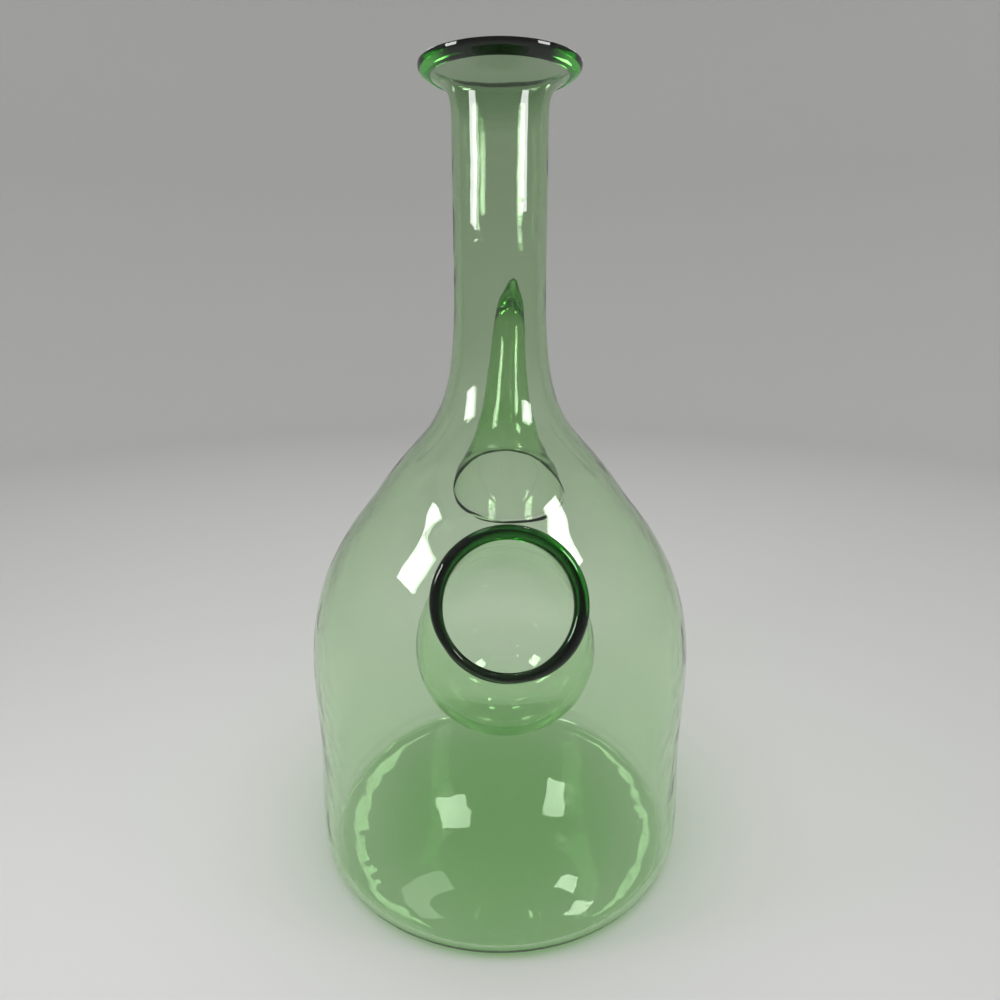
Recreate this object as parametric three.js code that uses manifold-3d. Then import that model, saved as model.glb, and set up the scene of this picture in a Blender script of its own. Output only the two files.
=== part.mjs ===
// Blown glass wine decanter with an ice pocket in the front shoulder and a pouring spout on the back.
// Millimetres, +Z up, origin on the underside at the centre of the foot. -Y is the pocket's side.
import * as THREE from 'three';
import { mergeVertices } from 'three/addons/utils/BufferGeometryUtils.js';
import Module from 'manifold-3d';

const wasm = await Module();
wasm.setup();

const deg = THREE.MathUtils.degToRad;

// Gap kept between pieces that are fused on the real object
const GAP = 0.3;

// Body of revolution
const HEIGHT = 300;
const FOOT_RADIUS = 70;
const HEEL_RADIUS = 77;
const HEEL_HEIGHT = 12;
const WAIST_RADIUS = 75.9;
const WAIST_Z = 48;
const BELLY_RADIUS = 76.5;
const SHOULDER_Z = 82;
const CONE_RADIUS = 47.3;
const CONE_Z = 153.3;
const CONE_LEAN = 34;
const NECK_RADIUS = 16.9;
const NECK_FOOT_Z = 231;
const FLARE_Z = 285;
const WALL = 2.8;
const EDGE_WALL = 1;
const FLOOR = 7.5;
const MOUND_FLAT = 52;
const MOUND_FOOT = 56;
const BODY_SIDES = 48;

// How far the handles of the outline's curves reach from their points
const SHOULDER_PULL = 42;
const CONE_PULL_DOWN = 13;
const CONE_PULL_UP = 34;
const NECK_PULL = 58;
const FLARE_PULL = 9;
const EDGE_PULL = 5.5;

// Lip wrap: a flattened rod laid round the flare's edge. It carries on in the flare's direction, and its
// outer face leans out a little. The place is that of the section's middle, LIP_TOP under its highest point
const LIP_RISE = deg(30);
const LIP_LEAN = deg(8.5);
const LIP_WIDE = 2.4;
const LIP_TALL = 1.15;
const LIP_SQUARENESS = 3.6;
const LIP_SINK = 1.2;
const LIP_RADIUS = 25.8;
const LIP_TOP = 1.93;
const LIP_Z = HEIGHT - LIP_TOP;
const LIP_SIDES = 16;

// Ice pocket: its mouth on the front shoulder and the bulb hanging inside
const MOUTH_CENTRE = new THREE.Vector3(2.8, -61.1, 129.9);
const MOUTH_RISE = 30;
const MOUTH_TURN = 3;
const MOUTH_RADIUS = 24;
const BULB_RADIUS = 32.5;
const BULB_DEPTH = 40;
const POCKET_TIP = new THREE.Vector3(2.2, -21, 69);
const POCKET_PULL = 32;
const POCKET_WALL = 2.6;
const POCKET_SIDES = 30;

// How far a cut for a bore or a hollow runs on past the piece
const PAST_MOUTH = 20;
const PAST_ROOT = 8;
const PAST_TIP = 4;

// The ring's rod is thinnest at one place, at an angle clockwise from its top
const RING_RADIUS = 23.2;
const RING_ROD = 2.55;
const RING_THIN = 1.1;
const RING_THIN_TURN = deg(205);
const RING_STEPS = 48;
const ROD_SIDES = 12;

// Pouring spout: a curved horn that flares into the back shoulder
const SPOUT_ROOT = new THREE.Vector3(3.8, 55.1, 140.3);
const SPOUT_ROOT_RISE = 46;
const SPOUT_ROOT_PULL = 18;
const SPOUT_TIP = new THREE.Vector3(10, 83, 233.4);
const SPOUT_TIP_RISE = 77;
const SPOUT_TIP_TURN = 28;
const SPOUT_TIP_PULL = 60;
const SPOUT_FLARE_START = -4;
const SPOUT_FLARE_END = 36;
const SPOUT_SQUEEZE = 0.16;
const SPOUT_SIDES = 24;
const SPOUT_STEPS = 30;

// Distance along the spout's axis and radius there, outside and inside
const SPOUT_OUTSIDE = [[-8, 28.5], [-3, 27.5], [2, 26.7], [8, 25.4], [13, 23.2], [19, 20.1], [26, 17.3],
  [35, 15.7], [44, 14.7], [58, 13.7], [74, 12.6], [84, 11], [89, 9.3], [94, 6.1], [97.6, 3.6], [98.6, 2.2]];
const SPOUT_BORE = [[-8, 27.2], [-3, 25.9], [2, 24.9], [8, 23.4], [13, 21], [19, 17.9], [26, 15.1],
  [35, 13.5], [44, 12.5], [58, 11.5], [74, 10.4], [81, 8.6], [85, 6], [88, 2.8], [92, 1.5], [98.6, 1.3]];

// A unit vector that climbs rise degrees above level, heading turn degrees clockwise from +Y
function heading(rise, turn) {
  const flat = Math.cos(deg(rise));
  return new THREE.Vector3(flat * Math.sin(deg(turn)), flat * Math.cos(deg(turn)), Math.sin(deg(rise)));
}

const MOUTH_OUT = heading(MOUTH_RISE, 180 - MOUTH_TURN);

function toSolid(geometry) {
  const bare = geometry.clone();
  bare.deleteAttribute('normal');
  bare.deleteAttribute('uv');
  const merged = mergeVertices(bare, 1e-4);
  return new wasm.Manifold(new wasm.Mesh({
    numProp: 3,
    vertProperties: new Float32Array(merged.attributes.position.array),
    triVerts: new Uint32Array(merged.index.array),
  }));
}

function toGeometry(solid) {
  const mesh = solid.getMesh();
  const geometry = new THREE.BufferGeometry();
  geometry.setAttribute('position', new THREE.BufferAttribute(new Float32Array(mesh.vertProperties), 3));
  geometry.setIndex(new THREE.BufferAttribute(new Uint32Array(mesh.triVerts), 1));
  geometry.computeVertexNormals();
  return geometry;
}

// Turns an outline of (radius, height) points about Z
function turned(points, sides) {
  return new THREE.LatheGeometry(points, sides).rotateX(Math.PI / 2);
}

// Outside of the bubble from the edge of the foot to the flared mouth, as curves with their step counts
function bodyOutside() {
  const at = (x, y) => new THREE.Vector2(x, y);
  const heel = at(HEEL_RADIUS, HEEL_HEIGHT);
  const waist = at(WAIST_RADIUS, WAIST_Z);
  const belly = at(BELLY_RADIUS, SHOULDER_Z);
  const cone = at(CONE_RADIUS, CONE_Z);
  const upCone = at(-Math.sin(deg(CONE_LEAN)), Math.cos(deg(CONE_LEAN)));
  const neckFoot = at(NECK_RADIUS, NECK_FOOT_Z);
  const flare = at(NECK_RADIUS, FLARE_Z);
  const on = at(Math.cos(LIP_RISE), Math.sin(LIP_RISE));
  const out = at(on.y, -on.x);
  const edge = at(LIP_RADIUS, LIP_Z).addScaledVector(on, -LIP_SINK).addScaledVector(out, EDGE_WALL / 2);
  const beforeEdge = edge.clone().addScaledVector(on, -EDGE_PULL);
  const underCone = cone.clone().addScaledVector(upCone, -CONE_PULL_DOWN);
  const overCone = cone.clone().addScaledVector(upCone, CONE_PULL_UP);
  const upright = (low, high) => {
    const middle = (low.y + high.y) / 2;
    return new THREE.CubicBezierCurve(low, at(low.x, middle), at(high.x, middle), high);
  };
  return [
    [new THREE.QuadraticBezierCurve(at(FOOT_RADIUS, 0), at(HEEL_RADIUS, 0), heel), 5],
    [upright(heel, waist), 2],
    [upright(waist, belly), 2],
    [new THREE.CubicBezierCurve(belly, at(BELLY_RADIUS, SHOULDER_Z + SHOULDER_PULL), underCone, cone), 7],
    [new THREE.CubicBezierCurve(cone, overCone, at(NECK_RADIUS, NECK_FOOT_Z - NECK_PULL), neckFoot), 7],
    [new THREE.LineCurve(neckFoot, flare), 1],
    [new THREE.CubicBezierCurve(flare, at(NECK_RADIUS, FLARE_Z + FLARE_PULL), beforeEdge, edge), 5],
  ];
}

// The same outline moved inwards along its normals, by a distance that depends on the height
function movedIn(points, distanceAt) {
  return points.map((point, i) => {
    const before = points[Math.max(i - 1, 0)];
    const after = points[Math.min(i + 1, points.length - 1)];
    const along = after.clone().sub(before).normalize();
    const distance = distanceAt(point.y);
    return new THREE.Vector2(point.x - along.y * distance, point.y + along.x * distance);
  });
}

// Thickness of the wall: even up the body and neck, then thinner through the flare
function wallAt(height) {
  const share = THREE.MathUtils.clamp((height - FLARE_Z) / (LIP_Z - FLARE_Z), 0, 1);
  return THREE.MathUtils.lerp(WALL, EDGE_WALL, share);
}

function sampled(curves) {
  return curves.flatMap(([curve, steps], i) => curve.getPoints(steps).slice(i === 0 ? 0 : 1));
}

// Solid of revolution of the body's outline, moved outwards by grow, with no hollow
function bodyEnvelope(grow) {
  const outline = movedIn(sampled(bodyOutside()), () => -grow);
  const top = outline[outline.length - 1];
  const points = [new THREE.Vector2(0, -grow), ...outline, new THREE.Vector2(0, top.y)];
  return toSolid(turned(points, BODY_SIDES));
}

// Floor, wall, shoulder, neck and flare in one turned form. The floor thins softly towards the heel
function bodyShell() {
  const outside = sampled(bodyOutside());
  const wall = movedIn(outside, wallAt);
  const moundSteps = 8;
  const mound = new THREE.CubicBezierCurve(
    new THREE.Vector2(0, FLOOR),
    new THREE.Vector2(MOUND_FLAT, FLOOR),
    new THREE.Vector2(MOUND_FOOT, WALL),
    wall[0],
  ).getPoints(moundSteps);
  const inside = [...mound.slice(0, -1), ...wall].reverse();
  return toSolid(turned([new THREE.Vector2(0, 0), ...outside, ...inside], BODY_SIDES));
}

// A closed surface of rings square to a curve. A station is the distance along it, the ring's radius
// and, where the ring is oval, its height as a share of its width
function loft(curve, stations, sides) {
  const length = curve.getLength();
  const positions = [];
  const index = [];
  const across = new THREE.Vector3(1, 0, 0);
  const rings = stations.map(([distance, radius, squeeze = 1]) => {
    const share = THREE.MathUtils.clamp(distance / length, 0, 1);
    const tangent = curve.getTangentAt(share);
    const centre = curve.getPointAt(share).addScaledVector(tangent, distance - share * length);
    return { centre, tangent, radius, squeeze };
  });
  for (const { centre, tangent, radius, squeeze } of rings) {
    const side = across.clone().addScaledVector(tangent, -across.dot(tangent)).normalize();
    const up = new THREE.Vector3().crossVectors(tangent, side);
    for (let k = 0; k < sides; k += 1) {
      const angle = (2 * Math.PI * k) / sides;
      const point = centre.clone()
        .addScaledVector(side, radius * Math.cos(angle))
        .addScaledVector(up, squeeze * radius * Math.sin(angle));
      positions.push(point.x, point.y, point.z);
    }
  }
  for (let i = 0; i + 1 < rings.length; i += 1) {
    for (let k = 0; k < sides; k += 1) {
      const next = (k + 1) % sides;
      const [a, b, c, d] = [i * sides + k, i * sides + next, (i + 1) * sides + next, (i + 1) * sides + k];
      index.push(a, b, c, a, c, d);
    }
  }
  [[0, 1], [rings.length - 1, -1]].forEach(([i, turn]) => {
    const pole = positions.length / 3;
    positions.push(...rings[i].centre.toArray());
    for (let k = 0; k < sides; k += 1) {
      const pair = [i * sides + k, i * sides + ((k + 1) % sides)];
      if (turn > 0) pair.reverse();
      index.push(pole, ...pair);
    }
  });
  const geometry = new THREE.BufferGeometry();
  geometry.setAttribute('position', new THREE.Float32BufferAttribute(positions, 3));
  geometry.setIndex(index);
  return toSolid(geometry);
}

// The pocket's axis: in through the mouth, square to it, then bending down to the bulb's lowest point
function pocketAxis() {
  const bend = MOUTH_CENTRE.clone().addScaledVector(MOUTH_OUT, -POCKET_PULL);
  return new THREE.QuadraticBezierCurve3(MOUTH_CENTRE, bend, POCKET_TIP);
}

// Radii of a bulb that swells from the mouth and ends in half a ball; the wall is taken off all round
function pocketStations(wall) {
  const stations = [];
  const swellSteps = 7;
  for (let i = 0; i <= swellSteps; i += 1) {
    const share = i / swellSteps;
    const ease = share * share * (3 - 2 * share);
    stations.push([share * BULB_DEPTH, MOUTH_RADIUS + (BULB_RADIUS - MOUTH_RADIUS) * ease - wall]);
  }
  const ballSteps = 8;
  for (let i = 1; i < ballSteps; i += 1) {
    const angle = (Math.PI / 2) * (i / ballSteps);
    const radius = BULB_RADIUS - wall;
    stations.push([BULB_DEPTH + radius * Math.sin(angle), radius * Math.cos(angle)]);
  }
  return stations;
}

// Adds a straight stretch outside the mouth, so that a cut goes right through
function pastMouth(stations) {
  const [, radius] = stations[0];
  return [[-PAST_MOUTH, radius], ...stations];
}

function icePocket() {
  const axis = pocketAxis();
  const outside = loft(axis, pocketStations(0), POCKET_SIDES);
  const inside = loft(axis, pastMouth(pocketStations(POCKET_WALL)), POCKET_SIDES);
  return outside.subtract(inside);
}

// The space that the pocket needs where it passes through the wall
function pocketClearance() {
  return loft(pocketAxis(), pastMouth(pocketStations(-GAP)), POCKET_SIDES);
}

function spoutAxis() {
  const bend = SPOUT_ROOT.clone().addScaledVector(heading(SPOUT_ROOT_RISE, 0), SPOUT_ROOT_PULL);
  const reach = SPOUT_TIP.clone().addScaledVector(heading(SPOUT_TIP_RISE, SPOUT_TIP_TURN), -SPOUT_TIP_PULL);
  return new THREE.CubicBezierCurve3(SPOUT_ROOT, bend, reach, SPOUT_TIP);
}

// The flare is a little flatter than it is wide, between the wall and the slender part
function spoutSqueeze(distance) {
  const share = (distance - SPOUT_FLARE_START) / (SPOUT_FLARE_END - SPOUT_FLARE_START);
  return 1 - SPOUT_SQUEEZE * Math.sin(Math.PI * THREE.MathUtils.clamp(share, 0, 1)) ** 2;
}

function spoutStations(outline) {
  const curve = new THREE.SplineCurve(outline.map((pair) => new THREE.Vector2(...pair)));
  return curve.getPoints(SPOUT_STEPS).map((point) => [point.x, point.y, spoutSqueeze(point.x)]);
}

// The horn's bore, run out past the tip and in past the wall
function spoutBore() {
  const stations = spoutStations(SPOUT_BORE);
  const [rootEnd, rootRadius] = stations[0];
  const [tipEnd, tipRadius] = stations[stations.length - 1];
  const longer = [[rootEnd - PAST_ROOT, rootRadius], ...stations, [tipEnd + PAST_TIP, tipRadius]];
  return loft(spoutAxis(), longer, SPOUT_SIDES);
}

function pouringSpout() {
  const horn = loft(spoutAxis(), spoutStations(SPOUT_OUTSIDE), SPOUT_SIDES);
  return horn.subtract(bodyEnvelope(GAP)).subtract(spoutBore());
}

// Radius of the mouth's rod at an angle clockwise from its top
function rodAt(angle) {
  return RING_ROD - (RING_ROD - RING_THIN) * Math.cos((angle - RING_THIN_TURN) / 2) ** 8;
}

// A rod that lies on the pocket's edge, just outside the wall, made thicker all round by grow
function mouthRing(grow) {
  const right = new THREE.Vector3(0, 0, 1).cross(MOUTH_OUT).normalize();
  const up = MOUTH_OUT.clone().cross(right);
  const positions = [];
  const index = [];
  for (let i = 0; i < RING_STEPS; i += 1) {
    const angle = (2 * Math.PI * i) / RING_STEPS;
    const away = right.clone().multiplyScalar(Math.sin(angle)).addScaledVector(up, Math.cos(angle));
    const rod = rodAt(angle);
    const centre = MOUTH_CENTRE.clone()
      .addScaledVector(away, RING_RADIUS)
      .addScaledVector(MOUTH_OUT, rod + GAP);
    for (let k = 0; k < ROD_SIDES; k += 1) {
      const turn = (2 * Math.PI * k) / ROD_SIDES;
      const point = centre.clone()
        .addScaledVector(away, (rod + grow) * Math.cos(turn))
        .addScaledVector(MOUTH_OUT, (rod + grow) * Math.sin(turn));
      positions.push(...point.toArray());
      const next = (k + 1) % ROD_SIDES;
      const after = ((i + 1) % RING_STEPS) * ROD_SIDES;
      const [a, b, c, d] = [i * ROD_SIDES + k, i * ROD_SIDES + next, after + next, after + k];
      index.push(a, b, c, a, c, d);
    }
  }
  const geometry = new THREE.BufferGeometry();
  geometry.setAttribute('position', new THREE.Float32BufferAttribute(positions, 3));
  geometry.setIndex(index);
  return toSolid(geometry);
}

// A rod with a flat, softly cornered section, turned about the axis and made thicker by grow
function lipWrap(grow) {
  const on = new THREE.Vector2(Math.cos(LIP_RISE), Math.sin(LIP_RISE)).multiplyScalar(LIP_WIDE + grow);
  const up = new THREE.Vector2(Math.sin(LIP_LEAN), Math.cos(LIP_LEAN)).multiplyScalar(LIP_TALL + grow);
  const section = [];
  for (let k = 0; k <= LIP_SIDES; k += 1) {
    const angle = (2 * Math.PI * k) / LIP_SIDES;
    const [x, y] = [Math.cos(angle), Math.sin(angle)];
    const reach = (Math.abs(x) ** LIP_SQUARENESS + Math.abs(y) ** LIP_SQUARENESS) ** (-1 / LIP_SQUARENESS);
    const middle = new THREE.Vector2(LIP_RADIUS, LIP_Z);
    section.push(middle.addScaledVector(on, x * reach).addScaledVector(up, y * reach));
  }
  return toSolid(turned(section, BODY_SIDES));
}

function blownBody() {
  return bodyShell()
    .subtract(pocketClearance())
    .subtract(mouthRing(GAP))
    .subtract(lipWrap(GAP))
    .subtract(spoutBore());
}

const decanter = new THREE.Group();

function addPiece(name, solid, color, roughness) {
  const material = new THREE.MeshStandardMaterial({
    color, roughness, metalness: 0, transparent: true, opacity: 0.5,
  });
  const mesh = new THREE.Mesh(toGeometry(solid), material);
  mesh.name = name;
  decanter.add(mesh);
}

addPiece('blown_body', blownBody(), 0x9fc79f, 0.04);

addPiece('lip_wrap', lipWrap(0), 0x12401a, 0.03);

addPiece('ice_pocket', icePocket(), 0xa9cfa8, 0.04);

addPiece('pocket_mouth_ring', mouthRing(0), 0x10401a, 0.03);

addPiece('pouring_spout', pouringSpout(), 0x5fae55, 0.04);

export default decanter;
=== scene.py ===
import math

import bmesh
import bpy
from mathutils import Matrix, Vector


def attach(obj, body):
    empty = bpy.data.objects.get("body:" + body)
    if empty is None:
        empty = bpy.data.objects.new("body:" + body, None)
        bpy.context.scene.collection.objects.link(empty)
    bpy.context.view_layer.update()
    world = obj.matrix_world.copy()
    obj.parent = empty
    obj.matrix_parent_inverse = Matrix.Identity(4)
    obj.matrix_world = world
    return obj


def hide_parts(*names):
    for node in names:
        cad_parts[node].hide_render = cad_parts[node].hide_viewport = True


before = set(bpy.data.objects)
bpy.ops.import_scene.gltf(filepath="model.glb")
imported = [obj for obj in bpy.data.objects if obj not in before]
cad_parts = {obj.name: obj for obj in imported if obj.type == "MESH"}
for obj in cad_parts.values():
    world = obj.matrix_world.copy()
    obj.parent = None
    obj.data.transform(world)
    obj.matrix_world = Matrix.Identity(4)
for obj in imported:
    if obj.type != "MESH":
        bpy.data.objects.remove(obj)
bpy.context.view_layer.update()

MM = 0.001

# A smaller radius than this is on the axis
ON_AXIS = 1e-6

# Edges that turn more than this stay crisp
SHARP_ANGLE = math.radians(50)

# Space between fused pieces. Below zero, they sink into each other, so light passes as through one piece
SEAM = -0.02

# Body of revolution
HEIGHT = 300
FOOT_RADIUS = 70
HEEL_RADIUS = 77
HEEL_HEIGHT = 12
WAIST_RADIUS = 75.9
WAIST_Z = 48
BELLY_RADIUS = 76.5
SHOULDER_Z = 82
CONE_RADIUS = 47.3
CONE_Z = 153.3
CONE_LEAN = math.radians(34)
NECK_RADIUS = 16.9
NECK_FOOT_Z = 231
FLARE_Z = 285
WALL = 2.8
EDGE_WALL = 1
FLOOR = 7.5
MOUND_FLAT = 52
MOUND_FOOT = 56
BODY_SIDES = 160

# How far the handles of the outline's curves reach from their points
SHOULDER_PULL = 42
CONE_PULL_DOWN = 13
CONE_PULL_UP = 34
NECK_PULL = 58
FLARE_PULL = 9
EDGE_PULL = 5.5

# Lip wrap: a flattened rod laid round the flare's edge. It carries on in the flare's direction, and its
# outer face leans out a little. The place is that of the section's middle, LIP_TOP under its highest point
LIP_RISE = math.radians(30)
LIP_LEAN = math.radians(8.5)
LIP_WIDE = 2.4
LIP_TALL = 1.15
LIP_SQUARENESS = 3.6
LIP_SINK = 1.2
LIP_RADIUS = 25.8
LIP_TOP = 1.93
LIP_Z = HEIGHT - LIP_TOP

# Ice pocket and the ring round its mouth
MOUTH_CENTRE = Vector((2.8, -61.1, 129.9))
MOUTH_RISE = 30
MOUTH_TURN = 3
MOUTH_RADIUS = 24
BULB_RADIUS = 32.5
BULB_DEPTH = 40
POCKET_TIP = Vector((2.2, -21, 69))
POCKET_PULL = 32
POCKET_WALL = 2.6
RING_RADIUS = 23.2
RING_ROD = 2.55
RING_THIN = 1.1
RING_THIN_TURN = math.radians(205)
RING_THIN_POWER = 8
LOFT_SIDES = 128

# Pouring spout
SPOUT_ROOT = Vector((3.8, 55.1, 140.3))
SPOUT_ROOT_RISE = 46
SPOUT_ROOT_PULL = 18
SPOUT_TIP = Vector((10, 83, 233.4))
SPOUT_TIP_RISE = 77
SPOUT_TIP_TURN = 28
SPOUT_TIP_PULL = 60
SPOUT_FLARE_START = -4
SPOUT_FLARE_END = 36
SPOUT_SQUEEZE = 0.16
SPOUT_STEPS = 90

# How far a cut for a bore or a hollow runs on past the piece
PAST_MOUTH = 20
PAST_ROOT = 8
PAST_TIP = 4

# Distance along the spout's axis and radius there, outside and inside
SPOUT_OUTSIDE = [
    (-8, 28.5), (-3, 27.5), (2, 26.7), (8, 25.4), (13, 23.2), (19, 20.1), (26, 17.3), (35, 15.7),
    (44, 14.7), (58, 13.7), (74, 12.6), (84, 11), (89, 9.3), (94, 6.1), (97.6, 3.6), (98.6, 2.2),
]
SPOUT_BORE = [
    (-8, 27.2), (-3, 25.9), (2, 24.9), (8, 23.4), (13, 21), (19, 17.9), (26, 15.1), (35, 13.5),
    (44, 12.5), (58, 11.5), (74, 10.4), (81, 8.6), (85, 6), (88, 2.8), (92, 1.5), (98.6, 1.3),
]


def heading(rise, turn):
    """Unit vector that climbs rise degrees above level and heads turn degrees clockwise from +Y."""
    rise, turn = math.radians(rise), math.radians(turn)
    return Vector((math.cos(rise) * math.sin(turn), math.cos(rise) * math.cos(turn), math.sin(rise)))


MOUTH_OUT = heading(MOUTH_RISE, 180 - MOUTH_TURN)


def bezier(controls, share):
    """Point of a Bezier curve with any number of control points."""
    points = [Vector(c) for c in controls]
    while len(points) > 1:
        points = [a.lerp(b, share) for a, b in zip(points, points[1:])]
    return points[0]


def spline(points, steps):
    """Points of a smooth curve through the given (distance, radius) points."""
    points = [Vector(p) for p in points]
    made = []
    for i in range(steps + 1):
        place = i / steps * (len(points) - 1)
        k = min(int(place), len(points) - 2)
        t = place - k
        a, b = points[k], points[k + 1]
        into = (b - points[max(k - 1, 0)]) / 2
        out = (points[min(k + 2, len(points) - 1)] - a) / 2
        made.append((2 * t**3 - 3 * t**2 + 1) * a + (t**3 - 2 * t**2 + t) * into
                    + (3 * t**2 - 2 * t**3) * b + (t**3 - t**2) * out)
    return made


class Path:
    """A Bezier curve in space, walked by distance. It runs on straight past both ends."""

    def __init__(self, *controls, steps=200):
        self.points = [bezier(controls, i / steps) for i in range(steps + 1)]
        self.walked = [0]
        for a, b in zip(self.points, self.points[1:]):
            self.walked.append(self.walked[-1] + (b - a).length)
        self.length = self.walked[-1]

    def place(self, distance):
        inside = min(max(distance, 0), self.length)
        last = len(self.walked) - 1
        k = next((i for i in range(1, last) if self.walked[i] >= inside), last)
        a, b = self.points[k - 1], self.points[k]
        share = (inside - self.walked[k - 1]) / (self.walked[k] - self.walked[k - 1])
        before = self.points[max(k - 2, 0)]
        after = self.points[min(k + 1, last)]
        tangent = (b - before).normalized().lerp((after - a).normalized(), share).normalized()
        return a.lerp(b, share) + tangent * (distance - inside), tangent


def new_piece(name, points, faces):
    """A mesh object from points in millimetres."""
    mesh = bpy.data.meshes.new(name)
    mesh.from_pydata([Vector(p) * MM for p in points], [], faces)
    tool = bmesh.new()
    tool.from_mesh(mesh)
    bmesh.ops.recalc_face_normals(tool, faces=tool.faces)
    tool.to_mesh(mesh)
    tool.free()
    piece = bpy.data.objects.new(name, mesh)
    bpy.context.scene.collection.objects.link(piece)
    return piece


def turned(name, outline, sides):
    """Turns an outline of (radius, height) about Z. It joins its own ends unless it starts on the axis."""
    points, faces, rows = [], [], []
    for radius, height in outline:
        if radius < ON_AXIS:
            rows.append([len(points)] * sides)
            points.append((0, 0, height))
            continue
        rows.append(range(len(points), len(points) + sides))
        for k in range(sides):
            angle = 2 * math.pi * k / sides
            points.append((radius * math.sin(angle), -radius * math.cos(angle), height))
    pairs = list(zip(rows, rows[1:]))
    if outline[0][0] > ON_AXIS:
        pairs.append((rows[-1], rows[0]))
    for low, high in pairs:
        for k in range(sides):
            n = (k + 1) % sides
            corners = list(dict.fromkeys((low[k], low[n], high[n], high[k])))
            faces.append(corners)
    return new_piece(name, points, faces)


def loft(name, path, stations, sides=LOFT_SIDES):
    """A closed surface of rings square to a path; a station is (distance, radius, height over width)."""
    points, faces = [], []
    across = Vector((1, 0, 0))
    for distance, radius, squeeze in stations:
        centre, tangent = path.place(distance)
        side = (across - tangent * across.dot(tangent)).normalized()
        up = tangent.cross(side)
        for k in range(sides):
            angle = 2 * math.pi * k / sides
            points.append(centre + side * radius * math.cos(angle) + up * squeeze * radius * math.sin(angle))
    for i in range(len(stations) - 1):
        for k in range(sides):
            n = (k + 1) % sides
            faces.append((i * sides + k, i * sides + n, (i + 1) * sides + n, (i + 1) * sides + k))
    for row in (0, len(stations) - 1):
        pole = len(points)
        points.append(path.place(stations[row][0])[0])
        faces += [(pole, row * sides + k, row * sides + (k + 1) % sides) for k in range(sides)]
    return new_piece(name, points, faces)


def cut(piece, *cutters):
    """Takes the cutters' space out of a piece and deletes them."""
    for cutter in cutters:
        step = piece.modifiers.new("cut", "BOOLEAN")
        step.operation = "DIFFERENCE"
        step.solver = "EXACT"
        step.object = cutter
    bpy.context.view_layer.update()
    shaped = piece.evaluated_get(bpy.context.evaluated_depsgraph_get())
    mesh = bpy.data.meshes.new_from_object(shaped)
    piece.modifiers.clear()
    piece.data = mesh
    for cutter in cutters:
        bpy.data.objects.remove(cutter)
    return piece


# Body

def body_outside():
    """Outline of the bubble from the edge of the foot to the flared mouth, as Bezier curves."""
    foot = (FOOT_RADIUS, 0)
    heel = (HEEL_RADIUS, HEEL_HEIGHT)
    waist = (WAIST_RADIUS, WAIST_Z)
    belly = (BELLY_RADIUS, SHOULDER_Z)
    cone = Vector((CONE_RADIUS, CONE_Z))
    up_cone = Vector((-math.sin(CONE_LEAN), math.cos(CONE_LEAN)))
    neck_foot = (NECK_RADIUS, NECK_FOOT_Z)
    flare = (NECK_RADIUS, FLARE_Z)
    on = Vector((math.cos(LIP_RISE), math.sin(LIP_RISE)))
    edge = Vector((LIP_RADIUS, LIP_Z)) - LIP_SINK * on + EDGE_WALL / 2 * Vector((on.y, -on.x))

    def upright(low, high):
        middle = (low[1] + high[1]) / 2
        return [low, (low[0], middle), (high[0], middle), high]

    # Control points of each curve, and the number of steps it takes
    curves = [
        ([foot, (HEEL_RADIUS, 0), heel], 14),
        (upright(heel, waist), 10),
        (upright(waist, belly), 10),
        ([belly, (BELLY_RADIUS, SHOULDER_Z + SHOULDER_PULL), cone - CONE_PULL_DOWN * up_cone, cone], 26),
        ([cone, cone + CONE_PULL_UP * up_cone, (NECK_RADIUS, NECK_FOOT_Z - NECK_PULL), neck_foot], 26),
        ([neck_foot, flare], 12),
        ([flare, (NECK_RADIUS, FLARE_Z + FLARE_PULL), edge - EDGE_PULL * on, edge], 16),
    ]
    outline = [Vector(foot)]
    for controls, steps in curves:
        outline += [bezier(controls, i / steps) for i in range(1, steps + 1)]
    return outline


def moved_in(outline, distance_at):
    """The outline moved towards the axis along its normals, by a distance that depends on the height."""
    made = []
    for i, point in enumerate(outline):
        before, after = outline[max(i - 1, 0)], outline[min(i + 1, len(outline) - 1)]
        along = (after - before).normalized()
        distance = distance_at(point.y)
        made.append(Vector((point.x - along.y * distance, point.y + along.x * distance)))
    return made


def wall_at(height):
    """Thickness of the wall: even up the body and neck, then thinner through the flare."""
    share = min(max((height - FLARE_Z) / (LIP_Z - FLARE_Z), 0), 1)
    return WALL + (EDGE_WALL - WALL) * share


def body_envelope(name, grow):
    """The bubble's outer form as a solid with no hollow, moved outwards by grow."""
    outline = moved_in(body_outside(), lambda height: -grow)
    return turned(name, [(0, -grow), *outline, (0, outline[-1].y)], BODY_SIDES)


def body_hollow():
    """Outline of the hollow: a floor that thins softly towards the heel, and the wall's inner face."""
    wall = moved_in(body_outside(), wall_at)
    mound = [(0, FLOOR), (MOUND_FLAT, FLOOR), (MOUND_FOOT, WALL), wall[0]]
    steps = 30
    return [bezier(mound, i / steps) for i in range(steps)] + wall


def make_body():
    outline = body_outside()
    inside = list(reversed(body_hollow()))
    floor_steps = 8
    floor_rings = [(FOOT_RADIUS * i / floor_steps, 0) for i in range(floor_steps)]
    body = turned("blown_body_glass", [*floor_rings, *outline, *inside], BODY_SIDES)
    ring_space = mouth_ring("ring_space", SEAM)
    lip_space = lip("lip_space", SEAM)
    return cut(body, pocket_clearance(), ring_space, lip_space, spout_bore())


# Ice pocket

def pocket_path():
    """In through the mouth, square to it, then bending down to the bulb's lowest point."""
    return Path(MOUTH_CENTRE, MOUTH_CENTRE - POCKET_PULL * MOUTH_OUT, POCKET_TIP)


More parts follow.
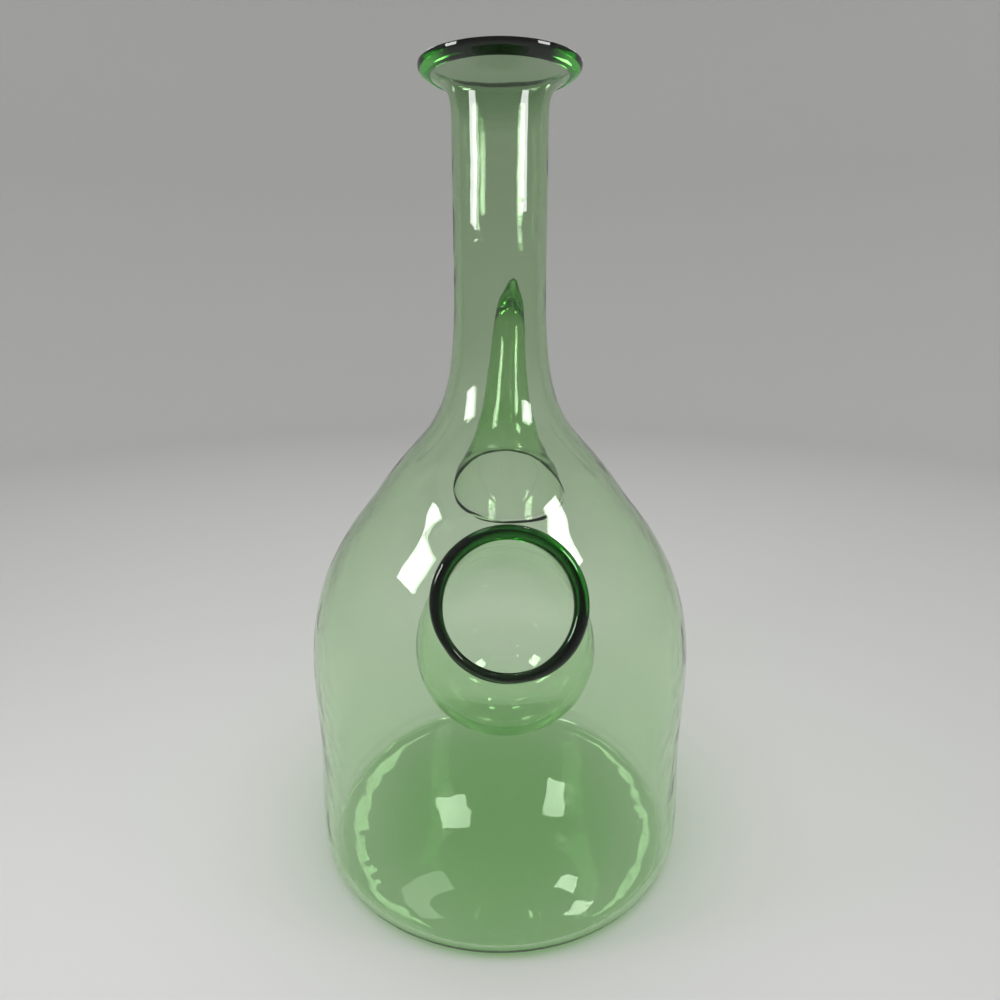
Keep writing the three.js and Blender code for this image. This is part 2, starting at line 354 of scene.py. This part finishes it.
def pocket_stations(wall):
    """Radii of a bulb that swells from the mouth and ends in half a ball, less a wall all round."""
    swell_steps, ball_steps = 28, 24
    stations = []
    for i in range(swell_steps + 1):
        share = i / swell_steps
        ease = share * share * (3 - 2 * share)
        radius = MOUTH_RADIUS + (BULB_RADIUS - MOUTH_RADIUS) * ease - wall
        stations.append((share * BULB_DEPTH, radius, 1))
    for i in range(1, ball_steps):
        angle = math.pi / 2 * i / ball_steps
        radius = BULB_RADIUS - wall
        stations.append((BULB_DEPTH + radius * math.sin(angle), radius * math.cos(angle), 1))
    return stations


def past_mouth(stations):
    """Adds a straight stretch outside the mouth, so that a cut goes right through."""
    return [(-PAST_MOUTH, stations[0][1], 1), *stations]


def pocket_clearance():
    return loft("pocket_space", pocket_path(), past_mouth(pocket_stations(-SEAM)))


def make_pocket():
    pocket = loft("ice_pocket_glass", pocket_path(), pocket_stations(0))
    return cut(pocket, loft("pocket_hollow", pocket_path(), past_mouth(pocket_stations(POCKET_WALL))))


# Pouring spout

def spout_path():
    bend = SPOUT_ROOT + heading(SPOUT_ROOT_RISE, 0) * SPOUT_ROOT_PULL
    reach = SPOUT_TIP - heading(SPOUT_TIP_RISE, SPOUT_TIP_TURN) * SPOUT_TIP_PULL
    return Path(SPOUT_ROOT, bend, reach, SPOUT_TIP)


def spout_stations(outline):
    """The flare is a little flatter than it is wide, between the wall and the slender part."""
    stations = []
    for distance, radius in spline(outline, SPOUT_STEPS):
        share = (distance - SPOUT_FLARE_START) / (SPOUT_FLARE_END - SPOUT_FLARE_START)
        flattened = math.sin(math.pi * min(max(share, 0), 1)) ** 2
        stations.append((distance, radius, 1 - SPOUT_SQUEEZE * flattened))
    return stations


def spout_bore():
    stations = spout_stations(SPOUT_BORE)
    root_end, root_radius, _ = stations[0]
    tip_end, tip_radius, _ = stations[-1]
    longer = [(root_end - PAST_ROOT, root_radius, 1), *stations, (tip_end + PAST_TIP, tip_radius, 1)]
    return loft("spout_space", spout_path(), longer)


def make_spout():
    horn = loft("pouring_spout_glass", spout_path(), spout_stations(SPOUT_OUTSIDE))
    return cut(horn, body_envelope("body_space", SEAM), spout_bore())


# Rods bent into rings

def rod_at(angle):
    """Radius of the mouth's rod at an angle clockwise from its top. It thins towards the lower left."""
    return RING_ROD - (RING_ROD - RING_THIN) * math.cos((angle - RING_THIN_TURN) / 2) ** RING_THIN_POWER


def mouth_ring(name, grow):
    """A rod that lies on the pocket's edge, just outside the wall, made thicker all round by grow."""
    right = Vector((0, 0, 1)).cross(MOUTH_OUT).normalized()
    up = MOUTH_OUT.cross(right)
    sides, steps = 40, 160
    points, faces = [], []
    for i in range(steps):
        angle = 2 * math.pi * i / steps
        away = right * math.sin(angle) + up * math.cos(angle)
        rod = rod_at(angle)
        centre = MOUTH_CENTRE + away * RING_RADIUS + MOUTH_OUT * (rod + SEAM)
        for k in range(sides):
            turn = 2 * math.pi * k / sides
            points.append(centre + (rod + grow) * (away * math.cos(turn) + MOUTH_OUT * math.sin(turn)))
            n, after = (k + 1) % sides, (i + 1) % steps * sides
            faces.append((i * sides + k, i * sides + n, after + n, after + k))
    return new_piece(name, points, faces)


def lip(name, grow):
    """A rod with a flat, softly cornered section, turned about the axis and made thicker by grow."""
    on = Vector((math.cos(LIP_RISE), math.sin(LIP_RISE))) * (LIP_WIDE + grow)
    up = Vector((math.sin(LIP_LEAN), math.cos(LIP_LEAN))) * (LIP_TALL + grow)
    middle = Vector((LIP_RADIUS, LIP_Z))
    section = []
    sides = 56
    for k in range(sides):
        x, y = math.cos(2 * math.pi * k / sides), math.sin(2 * math.pi * k / sides)
        reach = (abs(x) ** LIP_SQUARENESS + abs(y) ** LIP_SQUARENESS) ** (-1 / LIP_SQUARENESS)
        section.append(middle + (on * x + up * y) * reach)
    return turned(name, section, BODY_SIDES)


# Materials

GLASS_IOR = 1.5

# What the bubble's and the pocket's glass keeps of each colour, and how densely it absorbs the rest
PALE_KEPT = (0.209, 0.755, 0.0)
PALE_DENSITY = 69.5


def node(tree, kind, place, **values):
    made = tree.nodes.new(kind)
    made.location = place
    for name, value in values.items():
        setattr(made, name, value)
    return made


def glass(name, kept, density, ripple, ripple_size):
    """Clear glass, coloured by what it absorbs per metre. Lamp light passes straight through it."""
    material = bpy.data.materials.new(name)
    material.use_nodes = True
    tree = material.node_tree
    tree.nodes.clear()
    output = node(tree, "ShaderNodeOutputMaterial", (600, 0))
    shader = node(tree, "ShaderNodeBsdfPrincipled", (0, 0))
    shader.inputs["Base Color"].default_value = (1, 1, 1, 1)
    shader.inputs["Roughness"].default_value = 0
    shader.inputs["IOR"].default_value = GLASS_IOR
    shader.inputs["Transmission Weight"].default_value = 1
    clear = node(tree, "ShaderNodeBsdfTransparent", (0, 200))
    path = node(tree, "ShaderNodeLightPath", (0, 500))
    mix = node(tree, "ShaderNodeMixShader", (300, 0))
    tree.links.new(path.outputs["Is Shadow Ray"], mix.inputs[0])
    tree.links.new(shader.outputs[0], mix.inputs[1])
    tree.links.new(clear.outputs[0], mix.inputs[2])
    tree.links.new(mix.outputs[0], output.inputs["Surface"])
    volume = node(tree, "ShaderNodeVolumeAbsorption", (300, -300))
    volume.inputs["Color"].default_value = (*kept, 1)
    volume.inputs["Density"].default_value = density
    tree.links.new(volume.outputs[0], output.inputs["Volume"])
    where = node(tree, "ShaderNodeTexCoord", (-800, -200))
    waves = node(tree, "ShaderNodeTexNoise", (-600, -200))
    waves.inputs["Scale"].default_value = 1 / (ripple_size * MM)
    waves.inputs["Detail"].default_value = 1
    tree.links.new(where.outputs["Object"], waves.inputs["Vector"])
    bump = node(tree, "ShaderNodeBump", (-300, -200))
    bump.inputs["Strength"].default_value = 1
    bump.inputs["Distance"].default_value = ripple * MM
    tree.links.new(waves.outputs["Fac"], bump.inputs["Height"])
    tree.links.new(bump.outputs[0], shader.inputs["Normal"])
    return material


def away_from_middle(tree, axis, low, high, place):
    """A share that climbs from 0 to 1 between two distances from the origin along an axis, in mm."""
    x, y = place
    where = node(tree, "ShaderNodeTexCoord", (x - 600, y))
    split = node(tree, "ShaderNodeSeparateXYZ", (x - 400, y))
    distance = node(tree, "ShaderNodeMath", (x - 200, y), operation="ABSOLUTE")
    share = node(tree, "ShaderNodeMapRange", place)
    share.inputs["From Min"].default_value = low * MM
    share.inputs["From Max"].default_value = high * MM
    tree.links.new(where.outputs["Object"], split.inputs[0])
    tree.links.new(split.outputs[axis], distance.inputs[0])
    tree.links.new(distance.outputs[0], share.inputs["Value"])
    return share


def ripple_upwards(material, low, high, ripple):
    """Deepens a glass's ripple between two heights: the drawn neck shows more tooling than the bubble."""
    tree = material.node_tree
    bump = tree.nodes["Bump"]
    depth = away_from_middle(tree, "Z", low, high, (-600, -500))
    depth.inputs["To Min"].default_value = bump.inputs["Distance"].default_value
    depth.inputs["To Max"].default_value = ripple * MM
    tree.links.new(depth.outputs[0], bump.inputs["Distance"])


def tint_along(material, axis, stops):
    """Tints a glass by its distance from the origin along an axis. A stop is (distance, colour)."""
    tree = material.node_tree
    shader = tree.nodes["Principled BSDF"]
    first, last = stops[0][0], stops[-1][0]
    share = away_from_middle(tree, axis, first, last, (-600, 300))
    tint = node(tree, "ShaderNodeValToRGB", (-400, 300))
    tint.color_ramp.interpolation = "EASE"
    while len(tint.color_ramp.elements) < len(stops):
        tint.color_ramp.elements.new(1)
    for stop, (distance, colour) in zip(tint.color_ramp.elements, stops):
        stop.position = (distance - first) / (last - first)
        stop.color = (*colour, 1)
    tree.links.new(share.outputs[0], tint.inputs[0])
    tree.links.new(tint.outputs[0], shader.inputs["Base Color"])


PALE_GREEN = glass("pale_green_glass", PALE_KEPT, PALE_DENSITY, ripple=0.1, ripple_size=12)
POCKET_GREEN = glass("pocket_glass", PALE_KEPT, PALE_DENSITY, ripple=0.06, ripple_size=10)
DARK_GREEN = glass("dark_green_glass", kept=(0.1, 0.78, 0.0), density=1000, ripple=0.02, ripple_size=8)
# The lip's glass also gets a painted shade and light tint by its distance from the middle plane, set below
LIP_GREEN = glass("lip_glass_painted_shade_and_light", kept=(0.1, 0.93, 0.0), density=700, ripple=0.02, ripple_size=8)
SPOUT_GREEN = glass("spout_glass", kept=(0.209, 0.7, 0.0), density=210, ripple=0.03, ripple_size=5)

# The bubble's glass is greener and more rippled towards the lip
ripple_upwards(PALE_GREEN, low=205, high=245, ripple=0.3)
tint_along(PALE_GREEN, "Z", [
    (170, (1, 1, 1)),
    (215, (0.86, 0.9, 0.84)),
    (280, (0.82, 0.88, 0.8)),
    (292, (0.5, 0.64, 0.46)),
])

# Painted shade and light: the lip's band is tinted nearly black in front and behind, where the tint stands
# for shade and dark reflections, and clearer at its left and right ends, where it stands for lamp light
# passing through
tint_along(LIP_GREEN, "X", [
    (15, (0.002, 0.012, 0.002)),
    (24, (0.6, 0.9, 0.5)),
])


def dress(piece, node_name, material):
    """Gives a piece its material, smooth shading and its body, and hides the solid that it stands for."""
    piece.data.materials.clear()
    piece.data.materials.append(material)
    piece.data.shade_smooth()
    piece.data.set_sharp_from_angle(angle=SHARP_ANGLE)
    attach(piece, "root")
    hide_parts(node_name)


dress(make_body(), "blown_body", PALE_GREEN)
dress(lip("lip_wrap_glass", 0), "lip_wrap", LIP_GREEN)
dress(make_pocket(), "ice_pocket", POCKET_GREEN)
dress(mouth_ring("pocket_mouth_ring_glass", 0), "pocket_mouth_ring", DARK_GREEN)
dress(make_spout(), "pouring_spout", SPOUT_GREEN)


# Camera, from fitting the outline of revolution to the photograph. It looks down by its tilt

SENSOR_WIDTH = 36
LENS = 24.84
CAMERA_PLACE = Vector((0, -264.9, 223.1))
CAMERA_TILT = math.radians(15.97)
NEAREST_SEEN = 10


def make_camera():
    data = bpy.data.cameras.new("camera")
    data.sensor_width = SENSOR_WIDTH
    data.lens = LENS
    data.clip_start = NEAREST_SEEN * MM
    camera = bpy.data.objects.new("camera", data)
    camera.location = CAMERA_PLACE * MM
    camera.rotation_euler = (math.radians(90) - CAMERA_TILT, 0, 0)
    bpy.context.scene.collection.objects.link(camera)
    bpy.context.scene.camera = camera


# Studio: a pale floor just under the foot, which curves up into a round backdrop

STUDIO_RADIUS = 1500
STUDIO_CURVE = 500
STUDIO_HEIGHT = 1600
STUDIO_FLOOR = -0.1
STUDIO_MIDDLE = 200
STUDIO_CURVE_STEPS = 24
STUDIO_SIDES = 96
PAPER_COLOUR = (0.56, 0.56, 0.55)
PAPER_ROUGHNESS = 0.9
PAPER_SHINE = 0.2
WORLD_LOW = 0.25
WORLD_HIGH = 0.4

# A lamp is its name, its place, what it faces, its width and height, and its radiance
LAMP_RADIANCE = 14
FRONT_LAMPS = [
    ("lamp_left", (-258, -125, 318), (-20, -30, 200), 85, 95, LAMP_RADIANCE),
    ("lamp_right", (168, -116, 305), (20, -30, 200), 60, 60, LAMP_RADIANCE),
]

# High behind the object, for the bright patches that the photo shows at the heel and on the glass floor
ACCENT_LAMPS = [
    ("heel_right", (273, 575, 1000), (30, -50, 6), 90, 90, 20),
    ("heel_left", (-290, 560, 1000), (-30, -50, 6), 200, 120, 3.5),
    ("floor_left", (-125, 688, 621), (-23, -9, 7), 85, 85, 8.5),
    ("floor_right", (152, 716, 586), (28, 0, 7), 60, 120, 8.5),
]
FILL_LAMP = ("overhead", (0, -200, 1400), (0, 100, 0), 1500, 1200, 2.9)

BOUNCES = 32
CLEAR_BOUNCES = 48


def studio_paper():
    material = bpy.data.materials.new("studio_paper")
    material.use_nodes = True
    shader = material.node_tree.nodes["Principled BSDF"]
    shader.inputs["Base Color"].default_value = (*PAPER_COLOUR, 1)
    shader.inputs["Roughness"].default_value = PAPER_ROUGHNESS
    shader.inputs["Specular IOR Level"].default_value = PAPER_SHINE
    return material


def make_studio():
    flat = STUDIO_RADIUS - STUDIO_CURVE
    outline = [(0, STUDIO_FLOOR), (STUDIO_MIDDLE, STUDIO_FLOOR), (flat, STUDIO_FLOOR)]
    for i in range(1, STUDIO_CURVE_STEPS + 1):
        angle = math.pi / 2 * i / STUDIO_CURVE_STEPS
        rise = STUDIO_CURVE * (1 - math.cos(angle))
        outline.append((flat + STUDIO_CURVE * math.sin(angle), STUDIO_FLOOR + rise))
    outline.append((STUDIO_RADIUS, STUDIO_FLOOR + STUDIO_HEIGHT))
    studio = turned("studio", outline, STUDIO_SIDES)
    studio.data.shade_smooth()
    studio.data.materials.append(studio_paper())


def area_light(name, place, target, width, height, radiance):
    """A rectangle of light at a place in millimetres, facing a target. Cameras don't see it."""
    data = bpy.data.lights.new(name, "AREA")
    data.shape = "RECTANGLE"
    data.size, data.size_y = width * MM, height * MM
    data.energy = radiance * math.pi * data.size * data.size_y
    lamp = bpy.data.objects.new(name, data)
    place, target = Vector(place), Vector(target)
    lamp.location = place * MM
    lamp.rotation_mode = "QUATERNION"
    lamp.rotation_quaternion = (place - target).to_track_quat("Z", "Y")
    lamp.visible_camera = False
    bpy.context.scene.collection.objects.link(lamp)
    return lamp


def make_world():
    """Even, soft light: brighter overhead than at the horizon."""
    world = bpy.data.worlds.new("studio_air")
    bpy.context.scene.world = world
    world.use_nodes = True
    tree = world.node_tree
    where = node(tree, "ShaderNodeTexCoord", (-900, 0))
    split = node(tree, "ShaderNodeSeparateXYZ", (-700, 0))
    ramp = node(tree, "ShaderNodeMapRange", (-500, 0))
    ramp.inputs["To Min"].default_value = WORLD_LOW
    ramp.inputs["To Max"].default_value = WORLD_HIGH
    tree.links.new(where.outputs["Generated"], split.inputs[0])
    tree.links.new(split.outputs["Z"], ramp.inputs["Value"])
    tree.links.new(ramp.outputs[0], tree.nodes["Background"].inputs["Strength"])
    tree.nodes["Background"].inputs["Color"].default_value = (1, 1, 1, 1)


def make_lights():
    """The accent lamps light no matt surface, and the fill shows in no reflection."""
    for values in FRONT_LAMPS:
        area_light(*values)
    for values in ACCENT_LAMPS:
        accent = area_light(*values)
        accent.visible_diffuse = False
    fill = area_light(*FILL_LAMP)
    fill.visible_glossy = False
    fill.visible_transmission = False


make_camera()
make_studio()
make_lights()
make_world()

scene = bpy.context.scene
scene.view_settings.view_transform = "Standard"
scene.cycles.max_bounces = BOUNCES
scene.cycles.transmission_bounces = BOUNCES
scene.cycles.transparent_max_bounces = CLEAR_BOUNCES
scene.cycles.caustics_reflective = False
scene.cycles.caustics_refractive = False
